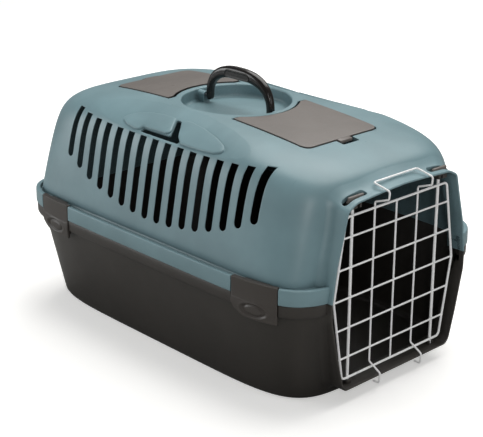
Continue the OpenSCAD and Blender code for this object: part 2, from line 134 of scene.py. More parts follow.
# Belt slot and the pads round it, as (y, distance up the hollow).
BELT_SLOT = [
    (55, 5.4), (55, 13.6), (0.5, 15.2), (19, 46.5), (9, 46.5),
    (-6, 28.5), (-15.5, 17.0), (-25, 10.8), (-25, 5.4),
]
REAR_PAD = [
    (56, 13.8), (57.5, 6.2), (68, 5.6), (86, 8.4), (99.5, 13.6), (103, 17.4),
    (99.5, 24.3), (89, 34.6), (70, 43), (45, 47.4), (20, 48), (0.8, 15.6),
]
FRONT_PAD = [
    (-32, 5.6), (-52, 5.0), (-77, 5.4), (-99, 7.0), (-109, 11.5), (-109.5, 17.5), (-100, 26),
    (-75, 36), (-42, 45), (-14, 49.5), (6.8, 49.2), (-6.6, 28.4), (-16, 16.8),
]
PAD_CORNER = 6.0

# Vent slots, from the rear: the height of each one's lower end.
SLOT_LOW = [
    240.5, 229, 218, 210, 204, 199, 196, 194,
    194, 195.5, 199.6, 203.5, 210.4, 218.4, 228.8, 240.3,
]
SLOT_FIRST_Y = 197.9
SLOT_STEP = 26.185
SLOT_R = 6.5
SLOT_FLARE = 3.0
SLOT_TOP = 303.4

# Side clips, as (middle in Y, half length), and the pin each one turns on.
CLIPS = ((-221.5, 36.5), (205.0, 35.5))
CLIP_AXIS = 11.5
CLIP_AXIS_Z = 171.5
CLIP_LOW = 124.5
CLIP_TOP = 175.0
BARREL_REACH = 20

# Door wires.
ROD_X = 85.5
ROD_Y = -290.0
ROD_D = 4.0
ROD_TOP = 275
FRAME_Y = -293.5
FRAME_D = 3.2
FRAME_LOW = 31.0
FRAME_WAIST = 146.3
FRAME_TOP = 259.5
FRAME_END_X = 100.0
FRAME_WAIST_X = 119.5
CROSS_Y = -293.2
CROSS_Z = [61.6 + 42.35 * i for i in range(5)]
CENTRE_Y = -290.7
WIRE_D = 2.6
WELD_Y = -292.0
BAIL_X = 42.75
BAIL = [
    (-299, 12), (-309.5, 12), (-310.5, 27), (-290.5, 38),
    (-290.5, 266), (-313.5, 274), (-314.5, 285.5), (-286.5, 291),
]

AROUND = 384
SMOOTH = 35.0

# ---------------- meshes


def finish_mesh(mesh, smooth_angle=SMOOTH):
    mesh.shade_smooth()
    mesh.set_sharp_from_angle(angle=math.radians(smooth_angle))


def add_object(name, data):
    """An object in the scene for a mesh, a light or a camera."""
    obj = bpy.data.objects.new(name, data)
    bpy.context.scene.collection.objects.link(obj)
    return obj


def make(name, points, faces, smooth_angle=SMOOTH):
    """An object from points in millimetres, with every face turned outwards."""
    mesh = bpy.data.meshes.new(name)
    mesh.from_pydata((np.asarray(points, float) * MM).tolist(), [], [list(f) for f in faces])
    bm = bmesh.new()
    bm.from_mesh(mesh)
    bmesh.ops.remove_doubles(bm, verts=bm.verts, dist=0.000005)
    bmesh.ops.recalc_face_normals(bm, faces=bm.faces)
    bm.to_mesh(mesh)
    bm.free()
    finish_mesh(mesh, smooth_angle)
    return add_object(name, mesh)


def grid_faces(rows, cols, wrap_rows=False, wrap_cols=True, first=0):
    faces = []
    for i in range(rows if wrap_rows else rows - 1):
        for j in range(cols if wrap_cols else cols - 1):
            k = (j + 1) % cols
            here = first + i * cols
            ahead = first + ((i + 1) % rows) * cols
            faces.append((here + j, here + k, ahead + k, ahead + j))
    return faces


def loft(name, rings, loop=False, smooth_angle=SMOOTH):
    """A closed solid through rings of points. Its ends are capped unless the rings make a loop."""
    rings = np.asarray(rings, float)
    rows, cols = rings.shape[:2]
    faces = grid_faces(rows, cols, wrap_rows=loop)
    if not loop:
        faces.append(tuple(range(cols))[::-1])
        faces.append(tuple(range((rows - 1) * cols, rows * cols)))
    return make(name, rings.reshape(-1, 3), faces, smooth_angle)


def slab(name, top, bottom):
    """A closed solid between two matching sheets of points."""
    rows, cols = top.shape[:2]
    count = rows * cols
    faces = grid_faces(rows, cols, wrap_cols=False)
    faces += [f[::-1] for f in grid_faces(rows, cols, wrap_cols=False, first=count)]
    edge = [(0, j) for j in range(cols)] + [(i, cols - 1) for i in range(1, rows)]
    edge += [(rows - 1, j) for j in range(cols - 2, -1, -1)] + [(i, 0) for i in range(rows - 2, 0, -1)]
    index = [i * cols + j for i, j in edge]
    for k, a in enumerate(index):
        b = index[(k + 1) % len(index)]
        faces.append((a, b, b + count, a + count))
    points = np.concatenate([top.reshape(-1, 3), bottom.reshape(-1, 3)])
    return make(name, points, faces)


def prism(name, outline, z0, z1):
    """An upright solid from an outline of (x, y) points."""
    return loft(name, [level(outline, z) for z in (z0, z1)])


def level(outline, z):
    """A flat outline of (x, y) points, laid at height z."""
    return np.c_[np.asarray(outline, float), np.full(len(outline), z)]


def box(name, low, high):
    outline = [(low[0], low[1]), (high[0], low[1]), (high[0], high[1]), (low[0], high[1])]
    return prism(name, outline, low[2], high[2])


def lathe(name, profile, x, y, count=128, start=0.0, turn=360.0):
    """A solid from (radius, z) points turned about an upright axis."""
    whole = turn >= 360.0
    angles = np.radians(start + np.linspace(0, turn, count, endpoint=not whole))
    profile = np.asarray(profile, float)
    rings = [
        np.c_[x + profile[:, 0] * math.cos(a), y + profile[:, 0] * math.sin(a), profile[:, 1]]
        for a in angles
    ]
    return loft(name, rings, loop=whole)


def bake(obj):
    """Replaces the object's mesh with the result of its modifiers."""
    bpy.context.view_layer.update()
    graph = bpy.context.evaluated_depsgraph_get()
    mesh = bpy.data.meshes.new_from_object(obj.evaluated_get(graph))
    obj.modifiers.clear()
    obj.data = mesh
    finish_mesh(mesh)


def cut(obj, *tools):
    """Cuts each tool out of the object, and removes the tools."""
    for tool in tools:
        step = obj.modifiers.new("cut", "BOOLEAN")
        step.operation = "DIFFERENCE"
        step.solver = "EXACT"
        step.object = tool
        bake(obj)
        bpy.data.objects.remove(tool)
    return obj


def soften(obj, width):
    """Rounds the object's sharp edges."""
    step = obj.modifiers.new("soften", "BEVEL")
    step.width = width * MM
    step.segments = 2
    step.limit_method = "ANGLE"
    step.angle_limit = math.radians(40.0)
    bake(obj)
    return obj


def join(name, parts):
    """One object from several."""
    bm = bmesh.new()
    for part in parts:
        bm.from_mesh(part.data)
        bpy.data.objects.remove(part)
    mesh = bpy.data.meshes.new(name)
    bm.to_mesh(mesh)
    bm.free()
    finish_mesh(mesh)
    return add_object(name, mesh)


def mirrored(obj, name):
    """A copy of the object on the other side of the middle plane."""
    mesh = obj.data.copy()
    mesh.transform(((-1, 0, 0, 0), (0, 1, 0, 0), (0, 0, 1, 0), (0, 0, 0, 1)))
    mesh.flip_normals()
    return add_object(name, mesh)


def both_sides(build):
    """Makes a builder of one part give that part together with its mirror image."""
    def pair(name, *details):
        part = build(name + "_half", *details)
        return join(name, [part, mirrored(part, name + "_mirror")])

    return pair


# ---------------- outlines


def signed_pow(a, p):
    return np.sign(a) * np.abs(a) ** p


def even_angles(count, n, w, length):
    """Angles that space points evenly along a superellipse."""
    u = np.linspace(0, 1, 4000)
    quarter = (u**4 / (u**4 + (1 - u) ** 4)) * math.pi / 2
    fine = np.concatenate([quarter[:-1] + k * math.pi / 2 for k in range(4)] + [[2 * math.pi]])
    x = w * signed_pow(np.cos(fine), 2 / n)
    y = length * signed_pow(np.sin(fine), 2 / n)
    s = np.concatenate([[0], np.cumsum(np.hypot(np.diff(x), np.diff(y)))])
    return np.interp(np.linspace(0, s[-1], count, endpoint=False), s, fine)


ANGLES = even_angles(AROUND, 6.8, BODY_W, 289)


def oval(w, front, rear, n, y):
    """Superellipse about y, with its own half length at each end."""
    c = np.cos(ANGLES)
    s = np.sin(ANGLES)
    c = np.where(np.abs(c) < 1e-9, 0, c)
    s = np.where(np.abs(s) < 1e-9, 0, s)
    length = np.where(s > 0, rear, front)
    return np.c_[w * signed_pow(c, 2 / n), y + length * signed_pow(s, 2 / n)]


def flange_oval(inset):
    return oval(HALF_W - inset, FLANGE_L - inset, FLANGE_L - inset, FLANGE_N, FLANGE_Y)


def body_sizes(h, inset=0.0):
    """Half width, front and rear half lengths, and exponent of the upper shell's section."""
    h = np.maximum(h, 0)
    t = np.minimum(h / (BODY_H - inset), 1)
    w = (BODY_W - LEAN * h - inset) * (1 - t**8.7) ** 0.2
    front = (BODY_FRONT - inset) * (1 - t**13) ** 0.97
    rear = (BODY_REAR - inset) * (1 - t**12) ** 0.385
    return w, front, rear, 8.6 - 4.9 * t


def body_oval(h, inset=0.0):
    w, front, rear, n = body_sizes(h, inset)
    return oval(w, front, rear, n, BODY_Y)


def tub_oval(z, inset=0.0):
    """Outline of the lower shell at height z, drawn in round its bottom edge."""
    below = max(TUB_ROUND - z, 0)
    draw = inset + TUB_ROUND - math.sqrt(TUB_ROUND**2 - below**2)
    length = TUB_L + TUB_GROW * z - draw
    return oval(TUB_W + TUB_GROW * z - draw, length, length, TUB_N, TUB_Y)


def deck(x, y):
    """Height of the upper shell's outer surface above (x, y)."""
    x, y = np.broadcast_arrays(np.asarray(x, float), np.asarray(y, float))
    low = np.zeros(x.shape)
    high = np.full(x.shape, BODY_H)
    for _ in range(40):
        h = (low + high) / 2
        w, front, rear, n = body_sizes(h)
        length = np.maximum(np.where(y > BODY_Y, rear, front), 1e-6)
        w = np.maximum(w, 1e-6)
        inside = np.abs(x / w) ** n + np.abs((y - BODY_Y) / length) ** n < 1
        low = np.where(inside, h, low)
        high = np.where(inside, high, h)
    return BAND_Z + low


def flange_point(y, inset):
    """Point at y along the flange, moved inwards along its normal, and that normal."""
    def edge(v):
        return HALF_W * (1 - (abs(v - FLANGE_Y) / FLANGE_L) ** FLANGE_N) ** (1 / FLANGE_N)

    normal = np.array([1.0, edge(y - 0.5) - edge(y + 0.5)])
    normal /= np.linalg.norm(normal)
    return np.array([edge(y), y]) - normal * inset, normal


def bend(a, b, c, radius, count, room=math.inf):
    """Points round the corner at b on the way from a to c, within the room along each side."""
    v = (b - a) / np.linalg.norm(b - a)
    w = (c - b) / np.linalg.norm(c - b)
    turn = math.acos(max(-1, min(1, float(v @ w))))
    if turn < 0.01:
        return [b]
    reach = min(radius * math.tan(turn / 2), room)
    r = reach / math.tan(turn / 2)
    side = w - v * (v @ w)
    side /= np.linalg.norm(side)
    angles = np.linspace(0, turn, count)
    return [b - v * reach + v * r * math.sin(t) + side * r * (1 - math.cos(t)) for t in angles]


def rounded(points, radii, step=2.0):
    """A closed outline with its corners rounded, as evenly spaced points."""
    points = np.asarray(points, float)
    path = []
    for i, b in enumerate(points):
        a = points[i - 1]
        c = points[(i + 1) % len(points)]
        room = 0.49 * min(np.linalg.norm(b - a), np.linalg.norm(c - b))
        path += bend(a, b, c, radii[i], 13, room)
    path = np.array(path + [path[0]])
    s = np.concatenate([[0], np.cumsum(np.linalg.norm(np.diff(path, axis=0), axis=1))])
    keep = np.concatenate([[True], np.diff(s) > 1e-6])
    at = np.linspace(0, s[-1], int(s[-1] / step), endpoint=False)
    return np.c_[np.interp(at, s[keep], path[keep, 0]), np.interp(at, s[keep], path[keep, 1])]


def inward(outline):
    """Inward normals of a closed outline, whichever way it runs."""
    ahead = np.roll(outline, -1, 0) - np.roll(outline, 1, 0)
    ahead /= np.linalg.norm(ahead, axis=1)[:, None]
    after = np.roll(outline, -1, 0)
    area = np.sum(outline[:, 0] * after[:, 1] - after[:, 0] * outline[:, 1])
    return np.c_[-ahead[:, 1], ahead[:, 0]] * np.sign(area)


def rim_outline():
    """Outline of the door surround in X and Z, anticlockwise seen from the front."""
    left = [(-x, z) for x, z in RIM[::-1]]
    radii = RIM_RADII + [RIM_TOP_RADIUS] + RIM_RADII[::-1]
    return rounded(RIM + [RIM_TOP] + left, radii)


# ---------------- shell bodies

# Heights of the upper shell's rings, as shares of its own height. They crowd together at the deck's edge.
LEVELS = np.concatenate([
    np.linspace(0, 0.6, 13),
    np.linspace(0.63, 0.9, 16),
    [0.915, 0.93, 0.943, 0.955, 0.965, 0.974, 0.981],
    [0.987, 0.991, 0.9945, 0.997, 0.9985, 0.9994, 0.9998],
])


def body_solid(name, inset):
    """The upper shell as a solid, drawn in by the inset."""
    top = BODY_H - inset
    rings = [level(body_oval(0, inset), z) for z in (SEAM_Z + 2, BAND_Z - 8)]
    rings += [level(body_oval(t * top, inset), BAND_Z + t * top) for t in LEVELS]
    return loft(name, rings)


def hollow_rise(y):
    """How far the hollow has come out of the shell at y, from its deepest point."""
    return (y - HOLLOW_Y) ** 2 / (2 * HOLLOW_BEND)


@both_sides
def shoulder_tool(name, grow):
    """Lens cutter for the shallow hollow along each shoulder."""
    rings = []
    for y in np.linspace(-250, 245, 100):
        rise = HOLLOW_OUT * (hollow_rise(y) - grow)
        a = HOLLOW_LOW - HOLLOW_UP * 50 + rise
        b = HOLLOW_HIGH + HOLLOW_UP * 60 + rise
        section = (a, b, b + HOLLOW_OUT * 60, a + HOLLOW_OUT * 60)
        rings.append([[x, y, z] for x, z in section])
    return loft(name, rings)


def shoulder_point(y, s, out):
    """Point on the hollow's surface at y, a distance s up from its lower edge, raised by out."""
    x, z = HOLLOW_LOW + HOLLOW_UP * s + HOLLOW_OUT * (out + hollow_rise(y))
    return (x, y, z)


def lid_side(ys):
    """-1 for the front lid and 1 for the rear one."""
    return np.sign(ys[0] - ys[1])


def lid_inner(x, ys, grow):
    """Y of the lid's inner edge, which bends round the handle's recess."""
    side = lid_side(ys)
    radius = LID_ARC - grow
    arc = RECESS_Y + side * np.sqrt(radius**2 - np.minimum(np.abs(x), radius) ** 2)
    tip = ys[1] - side * grow
    return np.where(side * (arc - tip) > 0, arc, tip)


def lid_outer(x, ys, grow):
    """Y of the lid's outer edge, with its rounded corners."""
    side = lid_side(ys)
    over = np.maximum(np.abs(x) - (LID_W + grow - LID_CORNER), 0)
    return ys[0] + side * (grow - LID_CORNER + np.sqrt(np.maximum(LID_CORNER**2 - over**2, 0)))


def lid_sheet(ys, grow, drop, give=0.0, cols=61, rows=73):
    """Sheet of points over a lid's outline grown by grow, lying a drop below the deck."""
    u = np.sin(np.linspace(-1, 1, cols) * math.pi / 2) * 0.5 + np.linspace(-1, 1, cols) * 0.5
    x = (LID_W + grow) * u
    v = np.linspace(0, 1, rows)[:, None]
    y = lid_outer(x, ys, grow) * (1 - v) + lid_inner(x, ys, grow + give) * v
    x = np.broadcast_to(x, y.shape)
    return np.stack([x, y, deck(x, y) - drop], -1)


def lid_room(ys, drop):
    """Sheet over the lid's outline and the gaps round it."""
    return lid_sheet(ys, SIDE_GAP, drop, HINGE_GAP, cols=41, rows=49)


def raised(sheet):
    """Copy of a sheet, flat above the deck."""
    top = sheet.copy()
    top[..., 2] = ABOVE_DECK
    return top


def lid_ledge_tool(name, ys):
    """Cutter for the ledge that a lid lies on."""
    sheet = lid_room(ys, LID_T + LID_FLOOR_GAP)
    return slab(name, raised(sheet), sheet)


def rect(x0, x1, y0, y1, r):
    """Rectangle with rounded corners. Each pair of sides may come in either order."""
    x0, x1 = sorted((x0, x1))
    y0, y1 = sorted((y0, y1))
    return rounded([(x0, y0), (x1, y0), (x1, y1), (x0, y1)], [r] * 4, step=1.5)


def well_tool(name, ys):
    """Deep part of a storage well, with the room its hinge needs."""
    side = lid_side(ys)
    inner = -101 if side < 0 else 126
    deep = prism(name, rect(-64, 64, ys[0] - side * 6, inner, 10), 299, ABOVE_DECK)
    sheet = lid_room(ys, 0.0)
    limit = np.maximum if side < 0 else np.minimum
    sheet[..., 1] = limit(sheet[..., 1], inner + side * 0.5)
    top = raised(sheet)
    sheet[..., 2] = 313.0
    return deep, slab(name + "_hinge", top, sheet)


def finger_tool(name, ys, reach, floor):
    """Cutter for the pocket that lets a finger under a lid's tab."""
    side = lid_side(ys)
    return prism(name, rect(-16, 16, ys[0] - side * 6, ys[0] + side * reach, 2.5), floor, ABOVE_DECK)


def recess_tool(name):
    """Round recess for the handle, with a gently domed floor and a rounded rim."""
    turns = np.linspace(0, 2 * math.pi, 160, endpoint=False)
    foot = 5.0
    lip = 2.4

    def ring(radius, z=None, drop=0.0):
        x = radius * np.cos(turns)
        y = RECESS_Y + radius * np.sin(turns)
        return np.c_[x, y, deck(x, y) - drop if z is None else np.full(x.shape, z)]

    rings = []
    for r in np.linspace(0.05, RECESS_R - foot, 12):
        rings.append(ring(r, 318.0 - 4.5 * (r / RECESS_R) ** 2))
    for a in np.linspace(0.2, math.pi / 2, 6):
        rings.append(ring(RECESS_R - foot + foot * math.sin(a), 319.1 - foot * math.cos(a)))
    for a in np.linspace(0, 1.35, 7):
        rings.append(ring(RECESS_R + lip * (1 - math.cos(a)), drop=lip * (1 - math.sin(a))))
    rings.append(ring(RECESS_R + lip, ABOVE_DECK))
    rings.append(ring(0.05, ABOVE_DECK))
    return loft(name, rings)


def lug(name, y0, y1):
    """Block that carries one end of the handle's pivot, with a rounded top."""
    arc = np.linspace(0.25, math.pi - 0.25, 9)
    half = [(6, 300), (6, PIVOT_Z)]
    half += [(6 * math.cos(a), PIVOT_Z + 5.0 * math.sin(a)) for a in arc]
    half += [(-6, PIVOT_Z), (-6, 300)]
    return loft(name, [[(x, y, z) for x, z in half] for y in (y0, y1)])


def side_wall(y, z):
    """X of the shells' side wall at (y, z)."""
    w, front, rear, n = body_sizes(z - BAND_Z)
    return w * (1 - (abs(y - BODY_Y) / (front if y < BODY_Y else rear)) ** n) ** (1 / n)


def slot_tool(name, y, low, high):
    """Cutter for one vent slot: round at the bottom, square at the top, and flared on the inside."""
    turns = np.linspace(-math.pi / 2, math.pi / 2, 15)
    wide = SLOT_R + SLOT_FLARE
    rings = []
    for out, r in ((8, SLOT_R), (-0.3, SLOT_R), (-WALL - 0.4, wide), (-16, wide)):
        side = [(y + r * math.sin(a), low + SLOT_R - r * math.cos(a)) for a in turns]
        side += [(y + r, z) for z in np.linspace(low + 20, high, 6)]
        side += [(y - r, z) for z in np.linspace(high, low + 20, 6)]
        rings.append([(side_wall(v, z) + out, v, z) for v, z in side])
    return loft(name, rings)


@both_sides
def vent_tools(name):
    """Cutters for every vent slot. Their tops follow the hollow's lower edge."""
    slots = []
    for i, low in enumerate(SLOT_LOW):
        y = SLOT_FIRST_Y - SLOT_STEP * i
        slots.append(slot_tool(name, y, low, SLOT_TOP + 7 * (abs(y) / 196) ** 4))
    return join(name, slots)


@both_sides
def belt_tool(name):
    """Cutter for the bent belt slot between the raised pads."""
    outline = rounded(BELT_SLOT, [1.5] * len(BELT_SLOT), step=1.2)
    return loft(name, [[shoulder_point(y, s, out) for y, s in outline] for out in (-14, 14)])


@both_sides
def pad(name, outline):
    """Raised pad with a rounded edge and a slightly domed face, following the hollow."""
    outline = rounded(outline, [PAD_CORNER] * len(outline), step=1.2)
    centre = outline.mean(0)
    rings = []
    for shrink, out in ((0.0, -2.5), (0.0, 1.7), (0.35, 2.5), (1.0, 3.0), (1.9, 3.2)):
        ring = outline + inward(outline) * shrink
        rings.append([shoulder_point(y, s, out) for y, s in ring])
    for k in (0.85, 0.6, 0.3):
        inner = centre + (ring - centre) * k
        rings.append([shoulder_point(y, s, 3.2 + 0.9 * (1 - k)) for y, s in inner])
    return loft(name, rings)


def doorway_tool(name):
    """Passage through the door surround."""
    outline = rim_outline()
    inner = outline + inward(outline) * WALL
    inner[:, 1] = np.maximum(inner[:, 1], SILL_Z)
    return loft(name, [[(x, y, z) for x, z in inner] for y in (-330, -240)])


@both_sides
def clip_notch_tool(name):
    """Cutter for the notches that the four clips sit in."""
    face = [(-3, 120), (3.6, 120), (3.6, 171.6), (7.2, 171.6), (7.2, 190), (-3, 190)]
    parts = []
    for y0, half in CLIPS:
        ys = y0 + np.linspace(-half - 1, half + 1, 25)
        parts.append(loft(name, [[(*flange_point(y, inset)[0], z) for inset, z in face] for y in ys]))
    return join(name, parts)


def band_ring(name, section):
    """Ring round the shells. Its points are (inset, z), measured from the flange or a shell's wall."""
    outlines = {
        "flange": lambda z, inset: flange_oval(inset),
        "body": lambda z, inset: body_oval(0, inset),
        "tub": tub_oval,
    }
    columns = []
    for kind, points in section:
        columns += [level(outlines[kind](z, inset), z) for inset, z in points]
    return loft(name, np.stack(columns, 1), loop=True)


UPPER_BAND = (
    ("flange", [
        (0.9, SEAM_Z + 0.3), (0.25, SEAM_Z + 0.9), (0.0, SEAM_Z + 2), (0.3, 172.6),
        (0.75, 174.2), (1.8, 175.0), (4.4, 175.0), (5.5, 174.4),
        (6.0, 173.2), (6.3, 169.6), (6.9, 168.4), (8.4, 168.0),
    ]),
    ("body", [(-4.2, 168.0), (-2.0, 168.6), (-0.6, 170.2), (0.8, 173.0), (1.6, 173.0), (1.6, 165.0)]),
    ("flange", [(6.4, 165.0), (4.8, 163.0), (4.4, SEAM_Z + 0.3)]),
)
LOWER_BAND = (
    ("flange", [
        (1.4, SEAM_Z - 0.1), (1.0, SEAM_Z - 0.8), (1.2, SKIRT_Z + 2), (1.7, SKIRT_Z + 0.6),
        (2.6, SKIRT_Z), (4.4, SKIRT_Z), (5.2, SKIRT_Z + 0.8), (5.6, SKIRT_Z + 8),
    ]),
    ("tub", [(-3.0, SKIRT_Z + 9.4), (1.5, SKIRT_Z + 10), (1.5, SEAM_Z - 0.1)]),
)


def front_wall(x, z):
    """Y of the shells' front wall at (x, z)."""
    if z > SEAM_Z:
        w, front, _, n = body_sizes(z - BAND_Z)
        return BODY_Y - front * (1 - min(abs(x) / w, 0.999) ** n) ** (1 / n)
    w = TUB_W + TUB_GROW * z
    front = TUB_L + TUB_GROW * z
    return TUB_Y - front * (1 - min(abs(x) / w, 0.999) ** TUB_N) ** (1 / TUB_N)


def surround(name):
    """Door surround as one tube: a rounded front lip, and a hollow curve where it meets the shells."""
    outline = rim_outline()
    outward = -inward(outline)
    rings = []
    for (x, z), (nx, nz) in zip(outline, outward):
        reach = front_wall(x, z) - FRONT_Y
        radius = min(10.0 + 10.0 * max(nz, 0) ** 2, reach * 0.62)
        curve = []
        for turn in np.linspace(0, math.pi / 2, 11):
            d = radius * (1 - math.sin(turn))
            wall = front_wall(x + nx * d, z + nz * d) + 0.4
            curve.append((d, wall - radius * (1 - math.cos(turn))))
        back = front_wall(x, z) + 2.8
        curve += [(0.0, FRONT_Y + 1.4), (-0.2, FRONT_Y + 0.6), (-0.8, FRONT_Y + 0.1), (-1.5, FRONT_Y)]
        curve += [(-2.2, FRONT_Y + 0.1), (-2.8, FRONT_Y + 0.6), (-WALL, FRONT_Y + 1.4)]
        curve += [(-WALL, back), (-1.0, back)]
        curve += [(radius * 0.5, curve[0][1] + 1.6), (radius, curve[0][1] + 1.2)]
        rings.append([(x + nx * d, y, z + nz * d) for d, y in curve])
    return loft(name, rings, loop=True)


def keep_side(obj, z, above):
    """Cuts an object flat at height z and keeps one side."""
    bm = bmesh.new()
    bm.from_mesh(obj.data)
    normal = (0, 0, -1 if above else 1)
    geometry = bm.verts[:] + bm.edges[:] + bm.faces[:]
    done = bmesh.ops.bisect_plane(
        bm, geom=geometry, plane_co=(0, 0, z * MM), plane_no=normal, clear_outer=True
    )
    edges = [e for e in done["geom_cut"] if isinstance(e, bmesh.types.BMEdge)]
    bmesh.ops.holes_fill(bm, edges=edges)
    bmesh.ops.recalc_face_normals(bm, faces=bm.faces)
    bm.to_mesh(obj.data)
    bm.free()
    finish_mesh(obj.data)
    return obj


def stadium(x0, x1, y, r, count=12):
    """Outline with round ends, for the catches and their slots."""
    turns = np.linspace(-math.pi / 2, math.pi / 2, count)
    right = [(x1 - r + r * math.cos(a), y + r * math.sin(a)) for a in turns]
    left = [(x0 + r - r * math.cos(a), y - r * math.sin(a)) for a in turns]
    return right + left


@both_sides
def catch_slot_tool(name):
    """Cutter for the slots in the brow that the catches slide in."""
    return prism(name, stadium(61.5, 103.5, ROD_Y, 5.4), 262, 300)


def cavity_solid():
    """Inside of the upper shell, less the room that the recess, wells and hollows take."""
    cavity = body_solid("cavity", WALL)
    cut(cavity, shoulder_tool("shoulder_inner", WALL))
    wide = RECESS_R + 3
    cup = [(0.01, 312.0), (RECESS_R - 8, 308.0), (wide, 311.0), (wide, ABOVE_DECK), (0.01, ABOVE_DECK)]
    cut(cavity, lathe("cup", cup, 0, RECESS_Y, count=96))
    for y0, y1 in ((-206.0, -40.0), (80.0, 220.0)):
        cut(cavity, prism("well_block", rect(-74, 74, y0, y1, 8), 296, ABOVE_DECK))
    return cavity


def upper_shell():
    """Hood: the wall with its deck recesses, vents, belt slots and doorway."""
    wall = body_solid("upper_shell", 0.0)
    cavity = cavity_solid()
    cut(wall, shoulder_tool("shoulder", 0.0))
    cut(wall, cavity)
    recess = recess_tool("recess")
    for y0, y1 in LUGS:
        cut(recess, lug("lug", y0, y1))
    cut(wall, recess)
    for ys, reach, floor in ((FRONT_LID, 16, 306.0), (REAR_LID, 9, 318.0)):
        cut(wall, lid_ledge_tool("ledge", ys), *well_tool("well", ys))
        cut(wall, finger_tool("finger", ys, reach, floor))
    return cut(wall, vent_tools("vents"), belt_tool("belt"), doorway_tool("doorway"))


def shell_band(name, section):
    """Band of one shell, with the clips' notches and the doorway cut through it."""
    band = band_ring(name, section)
    return cut(band, clip_notch_tool("notches"), doorway_tool("doorway"))


def lower_shell():
    """Tub with a rounded bottom edge."""
    heights = [0, 0.35, 1.2, 2.6, 4.6, 6.8, 9, 30, 60, 90, 120, 147, 150.9]
    outer = loft("lower_shell", [level(tub_oval(z), z) for z in heights])
    inner = loft("tub_inner", [level(tub_oval(z, WALL), z + WALL) for z in heights + [165]])
    return cut(outer, inner, doorway_tool("doorway"))


def socket(name, x, open_front):
    """Ring that a door rod stands in at the sill."""
    profile = [(2.15, 19.5), (2.15, 26.4), (2.8, 27.0), (4.8, 27.0), (5.5, 26.2), (5.8, 19.5)]
    if open_front:
        return lathe(name, profile, x, ROD_Y, count=40, start=-50, turn=280)
    return lathe(name, profile, x, ROD_Y, count=48)


# ---------------- loose pieces


def lid(name, ys, hinge_z):
    """Storage lid that follows the deck, with its finger tab and hinge stubs."""
    top = lid_sheet(ys, 0.6, -LID_PROUD)
    bottom = lid_sheet(ys, -0.8, LID_T)
    plate = soften(slab(name, top, bottom), 0.5)
    side = lid_side(ys)
    outline = rect(-12, 12, ys[0] - side * 3, ys[0] + side * 7, 2)
    centre = outline.mean(0)
    rings = []
    for k, drop in ((0.97, 3.0), (1.0, 0.1), (0.97, -0.6), (0.92, -0.9)):
        ring = centre + (outline - centre) * k
        rings.append(np.c_[ring, deck(ring[:, 0], ring[:, 1]) - drop])
    parts = [plate, loft("tab", rings)]
    pivot = ys[1] + side * 10
    for s in (-1, 1):
        for end, d in ((69.7, 4.8), (74.4, 2.6)):
            parts.append(tube("stub", [(s * 62.6, pivot, hinge_z), (s * end, pivot, hinge_z)], d))
    return join(name, parts)


def tube(name, path, d, sides=20, loop=False):
    """Round wire along a path of points, with rounded ends."""
    path = np.asarray(path, float)
    ahead = np.roll(path, -1, 0) - np.roll(path, 1, 0) if loop else np.gradient(path, axis=0)
    ahead /= np.linalg.norm(ahead, axis=1)[:, None]
    across = np.array([0.0, 1.0, 0.0]) if abs(ahead[0][1]) < 0.9 else np.array([1.0, 0.0, 0.0])
    turn = np.linspace(0, 2 * math.pi, sides, endpoint=False)
    r = d / 2

    def ring(p, t, u, radius):
        w = np.cross(t, u)
        return p + radius * (np.cos(turn)[:, None] * u + np.sin(turn)[:, None] * w)

    frames = []
    for p, t in zip(path, ahead):
        across = across - t * (t @ across)
        across /= np.linalg.norm(across)
        frames.append((p, t, across))
    if loop:
        return loft(name, [ring(p, t, u, r) for p, t, u in frames], loop=True)

    def end(frame, inwards):
        """Rings of a rounded end, from its tip inwards."""
        p, t, u = frame
        dome = [(0.6 * (1 - math.sin(a)), math.sin(a)) for a in (0.15, 0.7, 1.15)] + [(0.6, 1.0)]
        return [ring(p + t * r * back * inwards, t, u, r * size) for back, size in dome]

    middle = [ring(p, t, u, r) for p, t, u in frames[1:-1]]
    return loft(name, end(frames[0], 1) + middle + end(frames[-1], -1)[::-1])


def bent(points, radius, loop=False):
    """A path with its corners bent to a radius."""
    points = [np.asarray(p, float) for p in points]
    path = []
    for i, b in enumerate(points):
        if loop or 0 < i < len(points) - 1:
            path += bend(points[i - 1], b, points[(i + 1) % len(points)], radius, 7)
        else:
            path.append(b)
    return path


def blob(at, size):
    """Small weld bead."""
    turns = np.linspace(0, 2 * math.pi, 12, endpoint=False)
    rings = []
    for a in np.linspace(0.2, math.pi - 0.2, 7):
        x = at[0] + size[0] * math.sin(a) * np.cos(turns)
        y = at[1] + size[1] * math.sin(a) * np.sin(turns)
        rings.append(level(np.c_[x, y], at[2] + size[2] * math.cos(a)))
    return loft("weld", rings)


def frame_x(z):
    """Half width of the door's frame at height z."""
    end = FRAME_TOP if z > FRAME_WAIST else FRAME_LOW
    return FRAME_WAIST_X + (FRAME_END_X - FRAME_WAIST_X) * (z - FRAME_WAIST) / (end - FRAME_WAIST)


def door_frame():
    """Closed wire loop round the door, widest at its waist."""
    right = [(FRAME_END_X, FRAME_LOW), (FRAME_WAIST_X, FRAME_WAIST), (FRAME_END_X, FRAME_TOP)]
    corners = right + [(-x, z) for x, z in right[::-1]]
    path = bent([(x, FRAME_Y, z) for x, z in corners], 7.0, loop=True)
    return tube("door_frame", path, FRAME_D, loop=True)


def door_cross():
    """Cross wires, with a weld bead at every crossing."""
    parts = []
    for z in CROSS_Z:
        x = frame_x(z)
        parts.append(tube("wire", [(-x, CROSS_Y, z), (0, CROSS_Y, z), (x, CROSS_Y, z)], WIRE_D))
        for s in (-1, 1):
            parts.append(blob((s * x, CROSS_Y, z), (1.9, 1.9, 1.8)))
            parts.append(blob((s * ROD_X, WELD_Y, z), (2.2, 1.4, 1.8)))
        parts.append(blob((0, WELD_Y, z), (1.8, 1.3, 1.7)))
    return join("door_cross", parts)


